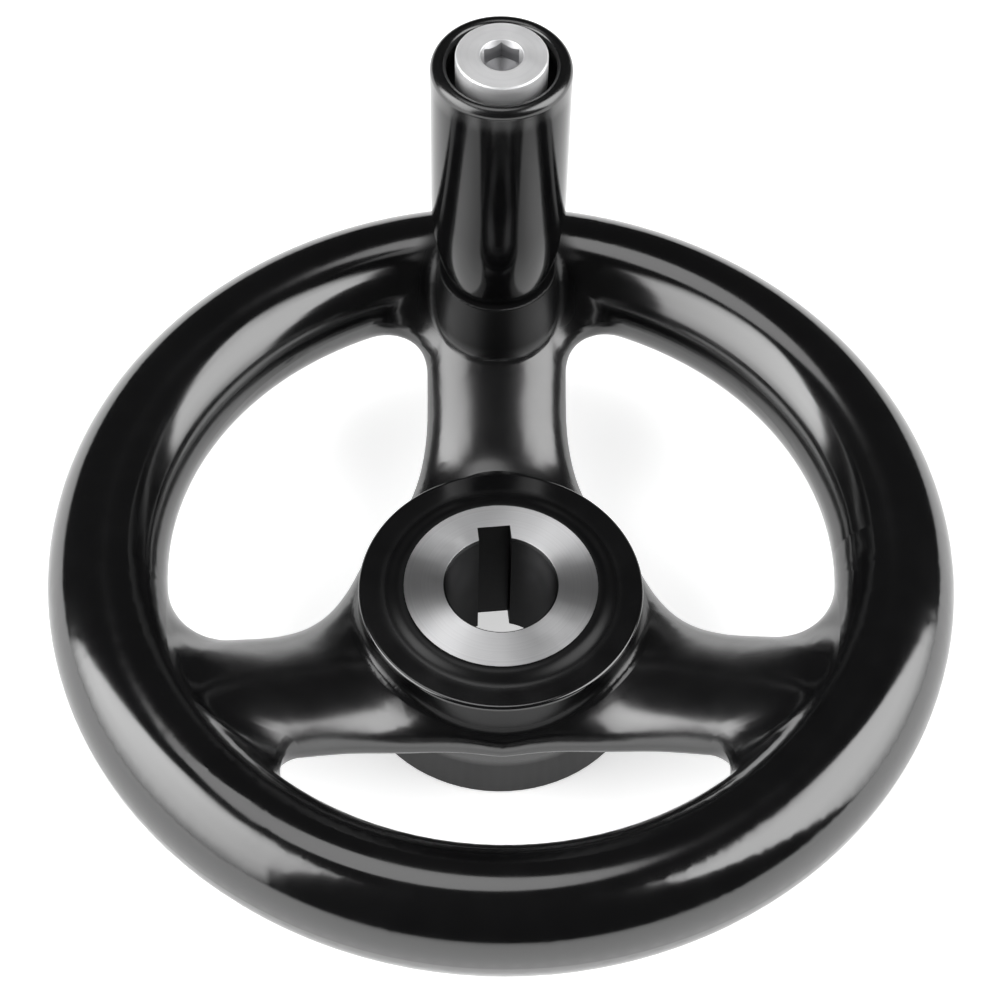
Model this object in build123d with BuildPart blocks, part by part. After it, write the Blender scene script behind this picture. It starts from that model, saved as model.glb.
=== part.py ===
from build123d import *
import os
from math import cos, hypot, radians, sin, sqrt, tan

# Machine handwheel with a revolving handle. Millimetres. The wheel's axis is Z,
# the hub's back face is the plane Z = 0, and the handle stands on the +Y spoke.

# Rim
wheel_diameter = 160.0
rim_width = 21.0
rim_height = 22.0
rim_plane = 36.0

# Hub of the moulding, with a low collar round the steel bush
hub_length = 28.0
hub_front_diameter = 51.4
hub_back_step = 1.3
hub_back_chamfer = 0.6
hub_edge_radius = 0.6
collar_height = 1.0
collar_land = 0.4
collar_slope_width = 2.4

# Spokes, and the round web that they grow out of. Straight parts of the spokes are wider
# than the boss by the margin on each side
spoke_count = 3
web_setback = 12.3
web_lip = 1.3
spoke_margin = 2.35
spoke_flare_radius = 40.0
spoke_crown = 8.0
spoke_belly = 4.5
spoke_rise_overlap = 3.5
spoke_rim_overlap = 8.0
spoke_rim_fillet = 10.0
spoke_hub_fillet = 2.0
spoke_boss_fillet = 1.0
spoke_station_step = 6.0

# Steel bush moulded into the hub, with a hexagonal waist that the moulding grips
bush_diameter = 35.0
bush_waist_cut = 5.0
bush_waist_length = 12.0
shaft_diameter = 20.0
bore_chamfer = 0.4
key_width = 6.0
key_depth = 2.8
key_turn = 5.0

# Boss that carries the handle
handle_inset = 11.5
boss_rise = 1.2
boss_diameter = 21.7
boss_draft = 4.0
boss_foot_fillet = 2.0
boss_edge_radius = 0.4

# Threaded insert moulded into the boss, with a hexagonal waist
insert_diameter = 14.5
insert_waist_cut = 2.1
insert_waist_length = 5.0
insert_length = 14.0
thread_diameter = 10.0
thread_length = 12.0

# Spindle, a shoulder screw with a low head and a hexagon socket
spindle_diameter = 12.0
head_diameter = 16.0
head_height = 6.2
head_edge_chamfer = 0.25
socket_flats = 6.0
socket_depth = 3.6
socket_countersink = 0.35
drill_point_angle = 118.0
undercut_diameter = 8.4
undercut_length = 1.6
thread_tip_chamfer = 0.9

# Revolving grip
grip_diameter = 24.6
grip_foot_diameter = 19.4
grip_length = 52.4
grip_foot_length = 19.0
grip_foot_round = 0.7
grip_top_round = 1.6
grip_bore_chamfer = 0.5
recess_edge_round = 1.1
head_proud = 1.8

# Clearances
thread_clearance = 0.03
grip_bore_clearance = 0.06
grip_foot_clearance = 0.3
head_axial_clearance = 0.2
head_radial_clearance = 1.5

# Sizes that follow from the ones above
rim_radius = (wheel_diameter - rim_width) / 2
rim_inner_radius = rim_radius - rim_width / 2
handle_radius = rim_radius - handle_inset
boss_top = rim_plane + rim_height / 2 + boss_rise
hub_back_radius = hub_front_diameter / 2 + hub_back_step
web_plane = hub_length - web_setback
web_radius = hub_back_radius + web_lip
spoke_width = boss_diameter + 2 * spoke_margin
half_sector = radians(180 / spoke_count)
flare_centre_across = spoke_width / 2 + spoke_flare_radius
flare_centre_along = sqrt((web_radius + spoke_flare_radius) ** 2 - flare_centre_across**2)
flare_start = flare_centre_along * web_radius / (web_radius + spoke_flare_radius)
spoke_rise_start = hub_back_radius - spoke_rise_overlap
spoke_rise_end = rim_inner_radius + spoke_rim_overlap
grip_foot_plane = boss_top + grip_foot_clearance
grip_top_plane = grip_foot_plane + grip_length
head_top_plane = grip_top_plane + head_proud
head_seat_plane = head_top_plane - head_height
recess_floor_plane = head_seat_plane - head_axial_clearance
handle_plane = Plane.XZ.offset(-handle_radius)
handle_axis = Axis((0, handle_radius, 0), (0, 0, 1))


def from_wheel_axis(point):
    return hypot(point.X, point.Y)


def from_handle_axis(point):
    return hypot(point.X, point.Y - handle_radius)


def off_boss_side(point):
    """Distance of the point from the boss's drafted side, measured level."""
    side = boss_diameter / 2 + (boss_top - point.Z) * tan(radians(boss_draft))
    return abs(from_handle_axis(point) - side)


def ring(builder, radius, height):
    """The circular edges of this radius at this height."""
    return builder.edges().filter_by(
        lambda edge: edge.geom_type == GeomType.CIRCLE
        and abs(edge.radius - radius) < 0.01
        and abs((edge @ 0).Z - height) < 0.01
    )


def spoke_half_width(along):
    """Half the spoke's width: the web's circle, then the flare's arc, then straight sides."""
    if along < flare_start:
        return sqrt(web_radius**2 - along**2)
    before_straight = max(flare_centre_along - along, 0)
    return flare_centre_across - sqrt(spoke_flare_radius**2 - before_straight**2)


def spoke_height(along):
    """Height of the spoke's widest line, an S from the web's plane to the rim's plane."""
    share = (along - spoke_rise_start) / (spoke_rise_end - spoke_rise_start)
    share = min(max(share, 0), 1)
    return web_plane + (rim_plane - web_plane) * share**2 * (3 - 2 * share)


# One sector of the moulding: the hub turned about the wheel's axis, and a spoke of oval
# sections lofted from inside the hub to inside the rim. It is cut off in the middle of
# the windows beside the spoke, so that neighbours join face to face in a web
spoke_start = web_radius * cos(half_sector) - spoke_station_step / 2
spoke_stations = round((rim_radius - spoke_start) / spoke_station_step)
face_plane = hub_length - collar_height
collar_top = bush_diameter / 2 + collar_land
collar_foot = collar_top + collar_slope_width
with BuildPart() as sector:
    with BuildSketch(Plane.XZ):
        with BuildLine():
            Polyline(
                (collar_foot, face_plane),
                (hub_front_diameter / 2, face_plane),
                (hub_front_diameter / 2, web_plane),
                (hub_back_radius, web_plane),
                (hub_back_radius, 0),
                (0, 0),
                (0, hub_length),
                (collar_top, hub_length),
            )
            Spline((collar_top, hub_length), (collar_foot, face_plane), tangents=((1, 0), (1, 0)))
        make_face()
    revolve(axis=Axis.Z)
    fillet(ring(sector, hub_front_diameter / 2, face_plane), radius=hub_edge_radius)
    chamfer(ring(sector, hub_back_radius, 0), length=hub_back_chamfer)

    for station in range(spoke_stations + 1):
        along = spoke_start + (rim_radius - spoke_start) * station / spoke_stations
        centre = (0, spoke_height(along))
        half_width = spoke_half_width(along)
        with BuildSketch(Plane.XZ.offset(-along)):
            with BuildLine():
                EllipticalCenterArc(centre, half_width, spoke_crown, start_angle=0, arc_size=180)
                EllipticalCenterArc(centre, half_width, spoke_belly, start_angle=180, arc_size=180)
            make_face()
    loft()
    sector_corner = (wheel_diameter / 2 * sin(half_sector), wheel_diameter / 2 * cos(half_sector))
    with BuildSketch(Plane.XY):
        with BuildLine():
            Polyline(
                (0, 0),
                sector_corner,
                (0, wheel_diameter / 2),
                (-sector_corner[0], sector_corner[1]),
                close=True,
            )
        make_face()
    extrude(amount=rim_plane + rim_height, mode=Mode.INTERSECT)

    # Fillets where the web leaves the hub, in front and behind
    front_joint = sector.edges().filter_by(
        lambda edge: edge.geom_type == GeomType.BSPLINE
        and abs(from_wheel_axis(edge @ 0.5) - hub_front_diameter / 2) < 0.1
        and (edge @ 0.5).Z > web_plane
    )
    fillet(front_joint, radius=spoke_hub_fillet)
    back_joint = sector.edges().filter_by(
        lambda edge: edge.geom_type == GeomType.BSPLINE
        and abs(from_wheel_axis(edge @ 0.5) - hub_back_radius) < 0.1
        and (edge @ 0.5).Z < web_plane
    )
    fillet(back_joint, radius=spoke_boss_fillet)

# Outer form of the hub bush: a cylinder with a hexagonal waist
with BuildPart() as bush_form:
    with BuildSketch(Plane.XY):
        Circle(bush_diameter / 2)
    extrude(amount=hub_length)
    with BuildSketch(Plane.XY.offset((hub_length - bush_waist_length) / 2)):
        Circle(bush_diameter / 2)
        RegularPolygon((bush_diameter - bush_waist_cut) / 2, 6, major_radius=False, mode=Mode.SUBTRACT)
    extrude(amount=bush_waist_length, mode=Mode.SUBTRACT)

# Outer form of the boss insert: the same, smaller and blind at its lower end
with BuildPart() as insert_form:
    with BuildSketch(Plane.XY.offset(boss_top)):
        with Locations((0, handle_radius)):
            Circle(insert_diameter / 2)
    extrude(amount=-insert_length)
    with BuildSketch(Plane.XY.offset(boss_top - (insert_length - insert_waist_length) / 2)):
        with Locations((0, handle_radius)):
            Circle(insert_diameter / 2)
            RegularPolygon((insert_diameter - insert_waist_cut) / 2, 6, major_radius=False, mode=Mode.SUBTRACT)
    extrude(amount=-insert_waist_length, mode=Mode.SUBTRACT)

# Boss for the handle: a cone with the mould's draft and a rounded upper edge, which
# ends inside the moulding on the spoke's widest line
boss_length = boss_top - web_plane
boss_root_radius = boss_diameter / 2 + boss_length * tan(radians(boss_draft))
with BuildPart() as boss:
    with Locations(Location((0, handle_radius, web_plane), (0, 0, -90))):
        Cone(
            boss_root_radius,
            boss_diameter / 2,
            boss_length,
            align=(Align.CENTER, Align.CENTER, Align.MIN),
        )
    fillet(ring(boss, boss_diameter / 2, boss_top), radius=boss_edge_radius)
    boss_inner_side = handle_radius - boss_root_radius
    boss_outer_side = handle_radius + boss_root_radius
    widest_line = []
    for station in range(spoke_stations + 1):
        along = boss_inner_side + (boss_outer_side - boss_inner_side) * station / spoke_stations
        widest_line.append((along, spoke_height(along)))
    with BuildSketch(Plane.YZ):
        with BuildLine():
            Spline(*widest_line)
            Polyline(widest_line[-1], (boss_outer_side, 0), (boss_inner_side, 0), widest_line[0])
        make_face()
    extrude(amount=boss_root_radius, both=True, mode=Mode.SUBTRACT)

# Wheel body: the sectors, rim and boss in one moulding
with BuildPart() as wheel_body:
    with PolarLocations(0, spoke_count):
        add(sector.part)
    rim_centre = (rim_radius, rim_plane)
    with BuildSketch(Plane.XZ):
        with BuildLine():
            EllipticalCenterArc(rim_centre, rim_width / 2, rim_height / 2, start_angle=0, arc_size=180)
            EllipticalCenterArc(rim_centre, rim_width / 2, rim_height / 2, start_angle=180, arc_size=180)
        make_face()
    revolve(axis=Axis.Z)
    # Fillets where the spokes run into the rim, which also round the windows' corners
    spoke_reach = rim_inner_radius - spoke_crown
    rim_joints = wheel_body.edges().filter_by(
        lambda edge: edge.geom_type == GeomType.BSPLINE
        and min(from_wheel_axis(edge @ at) for at in (0, 0.5, 1)) > spoke_reach
    )
    fillet(rim_joints, radius=spoke_rim_fillet)

    # Boss for the handle, rising out of the spoke's end and the rim
    add(boss.part)
    boss_foot = wheel_body.edges().filter_by(
        lambda edge: edge.geom_type == GeomType.BSPLINE
        and max(off_boss_side(edge @ at) for at in (0, 0.5, 1)) < 0.01
    )
    fillet(boss_foot, radius=boss_foot_fillet)

    # Seats that the moulding forms round the two inserts
    add(bush_form.part, mode=Mode.SUBTRACT)
    add(insert_form.part, mode=Mode.SUBTRACT)
wheel_body.part.label = "wheel_body"

# Hub bush: bored for the shaft, with a keyway through its whole length
with BuildPart() as hub_bush:
    add(bush_form.part)
    with BuildSketch(Plane.XY):
        Circle(shaft_diameter / 2)
        with Locations(Rotation(0, 0, key_turn)):
            Rectangle(
                key_width,
                shaft_diameter / 2 + key_depth,
                align=(Align.CENTER, Align.MIN),
            )
    extrude(amount=hub_length, mode=Mode.SUBTRACT)
    chamfer(ring(hub_bush, shaft_diameter / 2, hub_length), length=bore_chamfer)
    chamfer(ring(hub_bush, shaft_diameter / 2, 0), length=bore_chamfer)
hub_bush.part.label = "hub_bush"

# Boss insert: a blind tapped hole from its upper face
with BuildPart() as boss_insert:
    add(insert_form.part)
    with BuildSketch(Plane.XY.offset(boss_top)):
        with Locations((0, handle_radius)):
            Circle(thread_diameter / 2 + thread_clearance)
    extrude(amount=-thread_length, mode=Mode.SUBTRACT)
boss_insert.part.label = "boss_insert"

# Spindle: turned profile with head, shoulder, undercut and thread, then the socket
thread_end_plane = boss_top - thread_length + thread_tip_chamfer
with BuildPart() as handle_spindle:
    with BuildSketch(handle_plane):
        with BuildLine():
            Polyline(
                (0, head_top_plane),
                (head_diameter / 2 - head_edge_chamfer, head_top_plane),
                (head_diameter / 2, head_top_plane - head_edge_chamfer),
                (head_diameter / 2, head_seat_plane),
                (spindle_diameter / 2, head_seat_plane),
                (spindle_diameter / 2, boss_top),
                (undercut_diameter / 2, boss_top),
                (undercut_diameter / 2, boss_top - undercut_length),
                (thread_diameter / 2, boss_top - undercut_length),
                (thread_diameter / 2, thread_end_plane + thread_tip_chamfer),
                (thread_diameter / 2 - thread_tip_chamfer, thread_end_plane),
                (0, thread_end_plane),
                close=True,
            )
        make_face()
    revolve(axis=handle_axis)
    with BuildSketch(Plane.XY.offset(head_top_plane)):
        with Locations((0, handle_radius)):
            RegularPolygon(socket_flats / 2, 6, major_radius=False, rotation=30)
    extrude(amount=-socket_depth, mode=Mode.SUBTRACT)
    # The drill's cone under the hexagon, and the countersink at its mouth
    point_depth = socket_flats / 2 / tan(radians(drill_point_angle / 2))
    mouth_radius = socket_flats / 2 / cos(radians(30)) + socket_countersink
    with BuildSketch(handle_plane):
        with BuildLine():
            Polyline(
                (0, head_top_plane - socket_depth),
                (socket_flats / 2, head_top_plane - socket_depth),
                (0, head_top_plane - socket_depth - point_depth),
                close=True,
            )
        make_face()
    revolve(axis=handle_axis, mode=Mode.SUBTRACT)
    with BuildSketch(handle_plane):
        with BuildLine():
            Polyline(
                (0, head_top_plane),
                (mouth_radius, head_top_plane),
                (0, head_top_plane - mouth_radius),
                close=True,
            )
        make_face()
    revolve(axis=handle_axis, mode=Mode.SUBTRACT)
handle_spindle.part.label = "handle_spindle"

# Grip: a turned sleeve, bored for the spindle and recessed for its head
grip_bore_radius = spindle_diameter / 2 + grip_bore_clearance
recess_radius = head_diameter / 2 + head_radial_clearance
grip_shoulder_plane = grip_foot_plane + grip_foot_length
with BuildPart() as grip:
    with BuildSketch(handle_plane):
        with BuildLine():
            Polyline(
                (grip_diameter / 2, grip_shoulder_plane),
                (grip_diameter / 2, grip_top_plane),
                (recess_radius, grip_top_plane),
                (recess_radius, recess_floor_plane),
                (grip_bore_radius, recess_floor_plane),
                (grip_bore_radius, grip_foot_plane),
                (grip_foot_diameter / 2, grip_foot_plane),
            )
            TangentArc(
                (grip_diameter / 2, grip_shoulder_plane),
                (grip_foot_diameter / 2, grip_foot_plane),
                tangent=(0, -1),
            )
        make_face()
    revolve(axis=handle_axis)
    fillet(ring(grip, grip_diameter / 2, grip_top_plane), radius=grip_top_round)
    fillet(ring(grip, recess_radius, grip_top_plane), radius=recess_edge_round)
    fillet(ring(grip, grip_foot_diameter / 2, grip_foot_plane), radius=grip_foot_round)
    chamfer(ring(grip, grip_bore_radius, grip_foot_plane), length=grip_bore_chamfer)
grip.part.label = "grip"

os.makedirs("parts", exist_ok=True)
export_step(wheel_body.part, "parts/wheel_body.step")
export_step(hub_bush.part, "parts/hub_bush.step")
export_step(boss_insert.part, "parts/boss_insert.step")
export_step(handle_spindle.part, "parts/handle_spindle.step")
export_step(grip.part, "parts/grip.step")
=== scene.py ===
import math

import bpy
from mathutils import Matrix, Vector


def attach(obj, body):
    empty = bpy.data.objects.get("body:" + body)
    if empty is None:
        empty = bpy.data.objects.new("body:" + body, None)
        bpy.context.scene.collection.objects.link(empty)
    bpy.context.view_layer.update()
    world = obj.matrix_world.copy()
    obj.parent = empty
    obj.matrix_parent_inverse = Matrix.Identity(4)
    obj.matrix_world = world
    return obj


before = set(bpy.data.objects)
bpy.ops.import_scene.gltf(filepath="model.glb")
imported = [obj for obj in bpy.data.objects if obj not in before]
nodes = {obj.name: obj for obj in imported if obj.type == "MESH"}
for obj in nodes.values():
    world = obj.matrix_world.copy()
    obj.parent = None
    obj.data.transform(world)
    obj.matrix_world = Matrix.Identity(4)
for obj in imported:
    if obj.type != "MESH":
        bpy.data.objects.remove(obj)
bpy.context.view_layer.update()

# Camera, from the photograph: the wheel stands turned a little to the left of it
TURNED = Matrix.Rotation(math.radians(-2.3), 3, "Z")
CAMERA_PLACE = Vector((0.0, -0.2727, 0.4280))
CAMERA_AIM = Vector((-0.0006, 0.0129, 0.036))
CAMERA_ROLL = math.radians(-1.48)
CAMERA_LENS = 96.84
CAMERA_SENSOR = 36.0
CAMERA_NEAR = 0.01

# Places on the part that its materials go by, in metres
HANDLE_PLACE = (0.0, 0.058)
HUB_AXIS = (0.0, 0.0)
HEAD_TOP = 0.1027
SOCKET_RADIUS = 0.0037
SOCKET_SHADE = 0.0022
KEYWAY_CORNER = 0.0134
BUSH_TOP = 0.028

# Front of the hub, in millimetres
HUB_RADIUS = 25.7
HUB_LAND = 27.0
HUB_EDGE = 0.6
SKIN = 0.03
SIDE_FOOT = 26.0
SIDE_TOP = 26.38
LAND_OUTER = 24.95
STEP_OUTER = 21.6
STEP_INNER = 17.8
STEP_RISE = 1.0
LIP = [(17.62, 28.02), (17.5, 27.98)]
EDGE_STEPS = 8
STEP_STEPS = 24

# Room
FLOOR_RADIUS = 2.5
FLOOR_GAP = 0.00002
FLOOR_GLOW = 0.6
ROOM_GLOW = 0.03
BOX_DISTANCE = 0.9
BOX_HEIGHT = 2.1
BOX_FOOT = 0.02
BOX_EDGE = 0.06
GLOW_DISTANCE = 1.2
GLOW_SIZE = 0.6
GLOW_RADIANCE = 1.9
GLOW_FROM = Vector((-0.109, 0.229, 0.967))


# Node helpers

def new_material(name):
    material = bpy.data.materials.new(name)
    material.use_nodes = True
    tree = material.node_tree
    return material, tree, tree.nodes["Principled BSDF"]


def add_node(tree, kind, settings=None, inputs=None):
    made = tree.nodes.new(kind)
    for key, value in (settings or {}).items():
        setattr(made, key, value)
    for key, value in (inputs or {}).items():
        put(tree, made.inputs[key], value)
    return made


def put(tree, socket, value):
    """Link a socket to another one, or give it a plain value."""
    if isinstance(value, bpy.types.NodeSocket):
        tree.links.new(value, socket)
    else:
        socket.default_value = value


def math_node(tree, operation, *values):
    made = tree.nodes.new("ShaderNodeMath")
    made.operation = operation
    for socket, value in zip(made.inputs, values):
        put(tree, socket, value)
    return made.outputs[0]


def noise(tree, place, scale, detail=3.0, roughness=0.5):
    return add_node(
        tree, "ShaderNodeTexNoise", None,
        {"Vector": place, "Scale": scale, "Detail": detail, "Roughness": roughness},
    ).outputs["Fac"]


def remap(tree, value, low, high, to_low, to_high, smooth=False):
    made = add_node(
        tree, "ShaderNodeMapRange",
        {"interpolation_type": "SMOOTHSTEP" if smooth else "LINEAR", "clamp": True},
        {"Value": value, "From Min": low, "From Max": high, "To Min": to_low, "To Max": to_high},
    )
    return made.outputs["Result"]


def below(tree, value, full, none, smooth=False):
    """A mask that is 1 up to one value and falls to 0 at a higher one."""
    return remap(tree, value, full, none, 1.0, 0.0, smooth)


def above(tree, value, none, full, smooth=False):
    """A mask that is 0 up to one value and rises to 1 at a higher one."""
    return remap(tree, value, none, full, 0.0, 1.0, smooth)


def mix_color(tree, factor, first, second):
    made = add_node(tree, "ShaderNodeMix", {"data_type": "RGBA"}, None)
    for name, value in (("Factor_Float", factor), ("A_Color", first), ("B_Color", second)):
        put(tree, next(s for s in made.inputs if s.identifier == name), value)
    return next(s for s in made.outputs if s.identifier == "Result_Color")


def object_place(tree):
    """Object coordinates: metres in the row frame, since every CAD object's origin is there."""
    return add_node(tree, "ShaderNodeTexCoord").outputs["Object"]


def axis_distance(tree, place, centre):
    """Distance from a vertical axis, and height, of a place."""
    shifted = add_node(
        tree, "ShaderNodeMapping", {"vector_type": "POINT"},
        {"Vector": place, "Location": (-centre[0], -centre[1], 0.0)},
    ).outputs["Vector"]
    apart = add_node(tree, "ShaderNodeSeparateXYZ", None, {"Vector": shifted})
    across, along = apart.outputs["X"], apart.outputs["Y"]
    square = math_node(
        tree, "ADD",
        math_node(tree, "MULTIPLY", across, across),
        math_node(tree, "MULTIPLY", along, along),
    )
    return math_node(tree, "SQRT", square), apart.outputs["Z"]


def bump(tree, height, strength, distance, under=None):
    inputs = {"Height": height, "Strength": strength, "Distance": distance}
    if under is not None:
        inputs["Normal"] = under
    return add_node(tree, "ShaderNodeBump", None, inputs).outputs["Normal"]


def set_material(obj, material):
    if not obj.material_slots:
        obj.data.materials.append(material)
    for used in obj.material_slots:
        used.material = material


# Phenolic

PHENOLIC_DARK = (0.0022, 0.0022, 0.0024, 1)
PHENOLIC_LIGHT = (0.0045, 0.0045, 0.0048, 1)
MATT_DARK = (0.005, 0.005, 0.0052, 1)
MATT_LIGHT = (0.011, 0.011, 0.0115, 1)


def phenolic_skin(tree, place):
    """Colour and roughness of polished black phenolic, with faint flow marks."""
    cloud = noise(tree, place, 160.0, 4.0, 0.55)
    color = mix_color(tree, cloud, PHENOLIC_DARK, PHENOLIC_LIGHT)
    return color, remap(tree, cloud, 0.3, 0.7, 0.10, 0.14)


def finish_phenolic(tree, shader, place, color, rough, level):
    """Soft waviness and fine hairlines over the given colour, roughness and gloss."""
    put(tree, shader.inputs["Base Color"], color)
    put(tree, shader.inputs["Roughness"], rough)
    put(tree, shader.inputs["Specular IOR Level"], level)
    shader.inputs["IOR"].default_value = 1.55
    wavy = bump(tree, noise(tree, place, 45.0, 2.0), 0.35, 0.00012)
    hairlines = noise(tree, place, 900.0, 3.0, 0.6)
    put(tree, shader.inputs["Normal"], bump(tree, hairlines, 0.10, 0.000012, wavy))


def wheel_phenolic():
    """The wheel's moulding: duller spokes, a satin hub and boss, and a matt back of the hub."""
    material, tree, shader = new_material("phenolic_moulding")
    place = object_place(tree)
    color, rough = phenolic_skin(tree, place)
    radius, height = axis_distance(tree, place, HUB_AXIS)
    from_handle, _ = axis_distance(tree, place, HANDLE_PLACE)

    spokes = remap(tree, radius, 0.053, 0.062, 0.11, 0.0)
    spokes = math_node(tree, "MULTIPLY", spokes, above(tree, radius, 0.0265, 0.0285))
    rough = math_node(tree, "ADD", rough, spokes)

    hub_step = math_node(
        tree, "MULTIPLY",
        below(tree, radius, 0.0205, 0.0225, True), above(tree, height, 0.0265, 0.0268),
    )
    hub_side = math_node(
        tree, "MULTIPLY",
        below(tree, radius, 0.0262, 0.0275), below(tree, height, 0.0262, 0.0266),
    )
    boss = math_node(
        tree, "MULTIPLY",
        below(tree, from_handle, 0.0135, 0.017, True), above(tree, height, 0.034, 0.038, True),
    )
    satin = math_node(tree, "MAXIMUM", math_node(tree, "MAXIMUM", hub_step, hub_side), boss)
    rough = math_node(tree, "ADD", rough, math_node(tree, "MULTIPLY", satin, 0.18))

    matt = math_node(
        tree, "MULTIPLY",
        below(tree, radius, 0.0268, 0.0276), below(tree, height, 0.0095, 0.0115),
    )
    speckled = mix_color(tree, noise(tree, place, 1800.0, 4.0, 0.7), MATT_DARK, MATT_LIGHT)
    color = mix_color(tree, matt, color, speckled)
    rough = math_node(tree, "ADD", rough, math_node(tree, "MULTIPLY", matt, 0.34))
    level = math_node(
        tree, "MULTIPLY",
        remap(tree, satin, 0.0, 1.0, 1.0, 0.22), remap(tree, matt, 0.0, 1.0, 1.0, 0.2),
    )
    finish_phenolic(tree, shader, place, color, rough, level)
    return material


def grip_phenolic():
    """The grip's moulding: its lip, rubbed by the hand, has a wider and brighter sheen."""
    material, tree, shader = new_material("grip_moulding")
    place = object_place(tree)
    color, rough = phenolic_skin(tree, place)
    _, height = axis_distance(tree, place, HANDLE_PLACE)
    lip = above(tree, height, 0.0955, 0.0985, True)
    rough = math_node(tree, "ADD", rough, math_node(tree, "MULTIPLY", lip, 0.10))
    finish_phenolic(tree, shader, place, color, rough, remap(tree, lip, 0.0, 1.0, 0.38, 0.9))
    return material


# Metal

# Patchy tones inside the hex socket: worn, and darkened as painted shade
SOCKET_DARK = (0.10, 0.10, 0.11, 1)
SOCKET_LIGHT = (0.30, 0.30, 0.31, 1)
# Dark tones painted into the bush's bore as shade
BORE_SHADE_DARK = (0.020, 0.020, 0.021, 1)
BORE_SHADE_LIGHT = (0.055, 0.055, 0.056, 1)


def turned_metal(
    name, light, dark, roughness, centre, pitch, anisotropy,
    metallic=1.0, shaded_bore=False, worn_shaded_socket=False,
):
    """Machined metal: fine concentric rings about the part's own axis, with a brushed sheen."""
    material, tree, shader = new_material(name)
    place = object_place(tree)
    radius, height = axis_distance(tree, place, centre)
    rings_at = add_node(
        tree, "ShaderNodeCombineXYZ", None, {"X": radius, "Y": height},
    ).outputs["Vector"]
    rings = noise(tree, rings_at, 1.0 / pitch, 3.0, 0.65)
    patch = noise(tree, place, 260.0, 4.0, 0.6)
    color = mix_color(tree, rings, dark, light)
    rough = remap(tree, patch, 0.3, 0.7, *roughness)
    if worn_shaded_socket:
        # Worn, patchy tone inside the hex socket, with painted shade that grows darker towards
        # its floor
        within = below(tree, radius, SOCKET_RADIUS, SOCKET_RADIUS + 0.0001)
        depth = below(tree, height, HEAD_TOP - SOCKET_SHADE, HEAD_TOP - 0.0001)
        socket_wear_and_shade = math_node(tree, "MULTIPLY", within, remap(tree, depth, 0.0, 1.0, 0.45, 0.85))
        socket_wear_and_shade = math_node(tree, "MULTIPLY", socket_wear_and_shade, above(tree, depth, 0.0, 0.02))
        color = mix_color(tree, socket_wear_and_shade, color, mix_color(tree, patch, SOCKET_DARK, SOCKET_LIGHT))
    if shaded_bore:
        # Painted shade down the bore and keyway walls, between the bush's top and foot; these
        # walls are also rougher
        between_faces = math_node(
            tree, "MULTIPLY",
            below(tree, height, BUSH_TOP - 0.00003, BUSH_TOP - 0.00001),
            above(tree, height, 0.00001, 0.00003),
        )
        bore_shade = math_node(
            tree, "MULTIPLY",
            between_faces, below(tree, radius, KEYWAY_CORNER, KEYWAY_CORNER + 0.0002),
        )
        color = mix_color(tree, bore_shade, color, mix_color(tree, patch, BORE_SHADE_DARK, BORE_SHADE_LIGHT))
        rough = math_node(tree, "ADD", rough, math_node(tree, "MULTIPLY", bore_shade, 0.2))
    put(tree, shader.inputs["Base Color"], color)
    put(tree, shader.inputs["Roughness"], rough)
    shader.inputs["Metallic"].default_value = metallic
    shader.inputs["Anisotropic"].default_value = anisotropy
    shader.inputs["Anisotropic Rotation"].default_value = 0.25
    tangent = add_node(tree, "ShaderNodeTangent", {"direction_type": "RADIAL", "axis": "Z"})
    put(tree, shader.inputs["Tangent"], tangent.outputs["Tangent"])
    put(tree, shader.inputs["Normal"], bump(tree, rings, 0.25, 0.00002))
    return material


phenolic = wheel_phenolic()
set_material(nodes["wheel_body"], phenolic)
set_material(nodes["grip"], grip_phenolic())
set_material(nodes["hub_bush"], turned_metal(
    "turned_steel", light=(0.92, 0.92, 0.93, 1), dark=(0.70, 0.70, 0.71, 1),
    roughness=(0.30, 0.36), centre=HUB_AXIS, pitch=0.00035, anisotropy=0.9, shaded_bore=True,
))
set_material(nodes["handle_spindle"], turned_metal(
    "zinc_plated_steel", light=(0.88, 0.88, 0.885, 1), dark=(0.76, 0.76, 0.77, 1),
    roughness=(0.50, 0.62), centre=HANDLE_PLACE, pitch=0.0005, anisotropy=0.2,
    metallic=0.75, worn_shaded_socket=True,
))
set_material(nodes["boss_insert"], turned_metal(
    "turned_brass", light=(0.80, 0.60, 0.28, 1), dark=(0.55, 0.38, 0.16, 1),
    roughness=(0.28, 0.40), centre=HANDLE_PLACE, pitch=0.0004, anisotropy=0.5,
))


# Smooth skin over the hub's front, where the moulding runs up to the bush

def lathe(name, profile, around, material, body):
    """A turned surface about the hub's axis, from (radius, height) pairs in millimetres."""
    points = []
    faces = []
    for radius, height in profile:
        for step in range(around):
            angle = 2 * math.pi * step / around
            points.append((
                radius / 1000 * math.cos(angle),
                radius / 1000 * math.sin(angle),
                height / 1000,
            ))
    for row in range(len(profile) - 1):
        for step in range(around):
            beside = (step + 1) % around
            faces.append((
                row * around + step, (row + 1) * around + step,
                (row + 1) * around + beside, row * around + beside,
            ))
    mesh = bpy.data.meshes.new(name)
    mesh.from_pydata(points, [], faces)
    for face in mesh.polygons:
        face.use_smooth = True
    made = bpy.data.objects.new(name, mesh)
    bpy.context.scene.collection.objects.link(made)
    set_material(made, material)
    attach(made, body)


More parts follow.
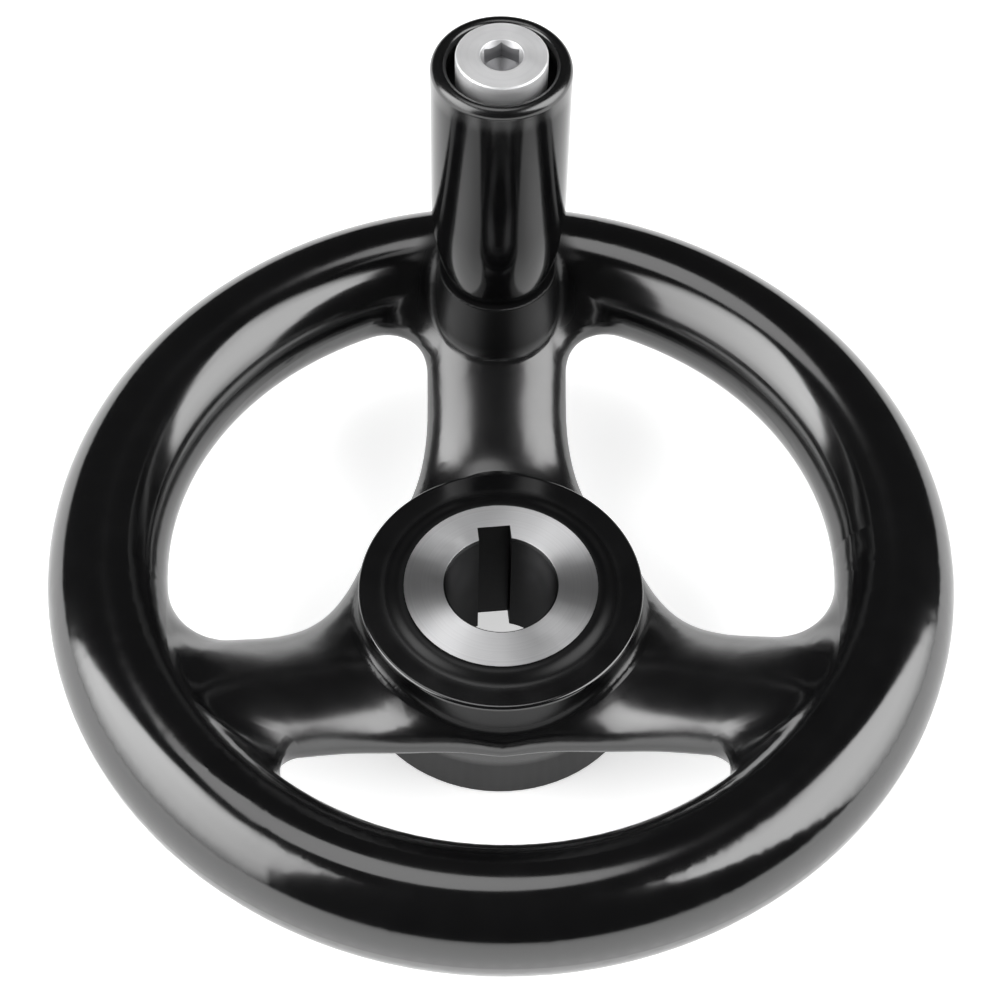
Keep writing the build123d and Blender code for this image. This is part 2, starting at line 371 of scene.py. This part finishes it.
def hub_front_profile():
    """Up the hub's side, round its edge, over the flat land and up a soft step to the bush."""
    edge_centre = (HUB_RADIUS - HUB_EDGE, HUB_LAND - HUB_EDGE)
    profile = [(HUB_RADIUS + SKIN, SIDE_FOOT), (HUB_RADIUS + SKIN, SIDE_TOP)]
    for step in range(1, EDGE_STEPS + 1):
        angle = math.radians(step / EDGE_STEPS * 90)
        profile.append((
            edge_centre[0] + (HUB_EDGE + SKIN) * math.cos(angle),
            edge_centre[1] + (HUB_EDGE + SKIN) * math.sin(angle),
        ))
    profile.append((LAND_OUTER, HUB_LAND + SKIN))
    for step in range(STEP_STEPS + 1):
        share = step / STEP_STEPS
        rise = share**3 * (10 - 15 * share + 6 * share**2)
        profile.append((
            STEP_OUTER - (STEP_OUTER - STEP_INNER) * share,
            HUB_LAND + SKIN + STEP_RISE * rise,
        ))
    return profile + LIP


lathe("hub_front_skin", hub_front_profile(), 192, phenolic, "wheel")


# Floor

bpy.ops.mesh.primitive_circle_add(
    vertices=96, radius=FLOOR_RADIUS, fill_type="NGON", location=(0, 0, 0),
)
floor = bpy.context.object
floor.name = "floor"
floor.location.z = -FLOOR_GAP
floor_material, tree, shader = new_material("pale_floor")
shader.inputs["Base Color"].default_value = (0.86, 0.86, 0.86, 1)
shader.inputs["Roughness"].default_value = 0.9
path = add_node(tree, "ShaderNodeLightPath")
seen = math_node(tree, "MAXIMUM", path.outputs["Is Camera Ray"], path.outputs["Is Glossy Ray"])
seen = math_node(tree, "MAXIMUM", seen, path.outputs["Is Transmission Ray"])
tree.links.new(math_node(tree, "MULTIPLY", seen, FLOOR_GLOW), shader.inputs["Emission Strength"])
shader.inputs["Emission Color"].default_value = (1, 1, 1, 1)
set_material(floor, floor_material)


# Light: two tall soft boxes left and right of the wheel, in a dim room

world = bpy.data.worlds.new("room")
bpy.context.scene.world = world
world.use_nodes = True
world.node_tree.nodes["Background"].inputs["Color"].default_value = (1, 1, 1, 1)
world.node_tree.nodes["Background"].inputs["Strength"].default_value = ROOM_GLOW

# Light level of a soft box from its foot to its top, as shares
BOX_LEVELS = (
    (0.0, 0.35), (0.05, 0.55), (0.12, 0.85), (0.25, 1.0),
    (0.6, 1.0), (0.8, 0.8), (0.9, 0.4), (1.0, 0.0),
)


def add_lamp(name, data, direction, place):
    """A lamp at a place that shines against a direction, which points away from the wheel."""
    lamp = bpy.data.objects.new(name, data)
    bpy.context.scene.collection.objects.link(lamp)
    lamp.location = place
    lamp.rotation_mode = "QUATERNION"
    lamp.rotation_quaternion = direction.to_track_quat("Z", "Y")


def soft_box(name, azimuth, aside, width, radiance, dim_side, slant):
    """A standing soft box, seen from the wheel at this azimuth, with soft edges.

    dim_side is the share of light left at its far side in the sense of the azimuth. slant
    cuts off a triangle at its foot, on the near side, of this share of the width.
    """
    data = bpy.data.lights.new(name, "AREA")
    data.shape = "RECTANGLE"
    data.size = width
    data.size_y = BOX_HEIGHT
    data.energy = radiance * math.pi * width * BOX_HEIGHT
    data.use_nodes = True
    tree = data.node_tree
    across = add_node(tree, "ShaderNodeNewGeometry").outputs["Parametric"]
    apart = add_node(tree, "ShaderNodeSeparateXYZ", None, {"Vector": across})
    along, up = apart.outputs["X"], apart.outputs["Y"]
    ramp = add_node(tree, "ShaderNodeValToRGB", None, {"Fac": up})
    for place, _ in BOX_LEVELS[2:]:
        ramp.color_ramp.elements.new(place)
    for element, (place, level) in zip(ramp.color_ramp.elements, BOX_LEVELS):
        element.position = place
        element.color = (level, level, level, 1)
    cut = math_node(tree, "SUBTRACT", slant, math_node(tree, "MULTIPLY", up, slant * 1.7))
    from_edge = math_node(tree, "SUBTRACT", along, math_node(tree, "MAXIMUM", cut, 0.0))
    shares = (
        above(tree, from_edge, 0.0, BOX_EDGE, True),
        below(tree, along, 1.0 - BOX_EDGE, 1.0, True),
        remap(tree, along, 0.2, 1.0, 1.0, dim_side),
    )
    light = ramp.outputs["Color"]
    for share in shares:
        light = math_node(tree, "MULTIPLY", light, share)
    tree.links.new(light, tree.nodes["Emission"].inputs["Strength"])
    outward = TURNED @ Vector((math.sin(azimuth), -math.cos(azimuth), 0.0))
    sideways = Vector((0, 0, 1)).cross(outward)
    middle = Vector((0, 0, BOX_HEIGHT / 2 + BOX_FOOT))
    add_lamp(name, data, outward, outward * BOX_DISTANCE + sideways * aside + middle)


soft_box("left_box", math.radians(-70), -0.07, 1.08, 5.5, 0.6, 0.0)
soft_box("right_box", math.radians(84), -0.13, 1.2, 4.5, 1.0, 0.46)

# A faint glow from above and behind, which the bush's turned face picks up
glow_data = bpy.data.lights.new("glow", "AREA")
glow_data.shape = "DISK"
glow_data.size = GLOW_SIZE
glow_data.energy = GLOW_RADIANCE * math.pi**2 * (GLOW_SIZE / 2)**2
glow_from = TURNED @ GLOW_FROM.normalized()
add_lamp("glow", glow_data, glow_from, glow_from * GLOW_DISTANCE)


# Camera

camera_data = bpy.data.cameras.new("camera")
camera_data.lens = CAMERA_LENS
camera_data.sensor_width = CAMERA_SENSOR
camera_data.clip_start = CAMERA_NEAR
camera = bpy.data.objects.new("camera", camera_data)
bpy.context.scene.collection.objects.link(camera)
place = TURNED @ CAMERA_PLACE
ahead = (TURNED @ CAMERA_AIM - place).normalized()
level_view = ahead.to_track_quat("-Z", "Y")
camera.rotation_mode = "QUATERNION"
camera.rotation_quaternion = Matrix.Rotation(CAMERA_ROLL, 3, ahead).to_quaternion() @ level_view
camera.location = place
bpy.context.scene.camera = camera
bpy.context.scene.view_settings.view_transform = "Standard"
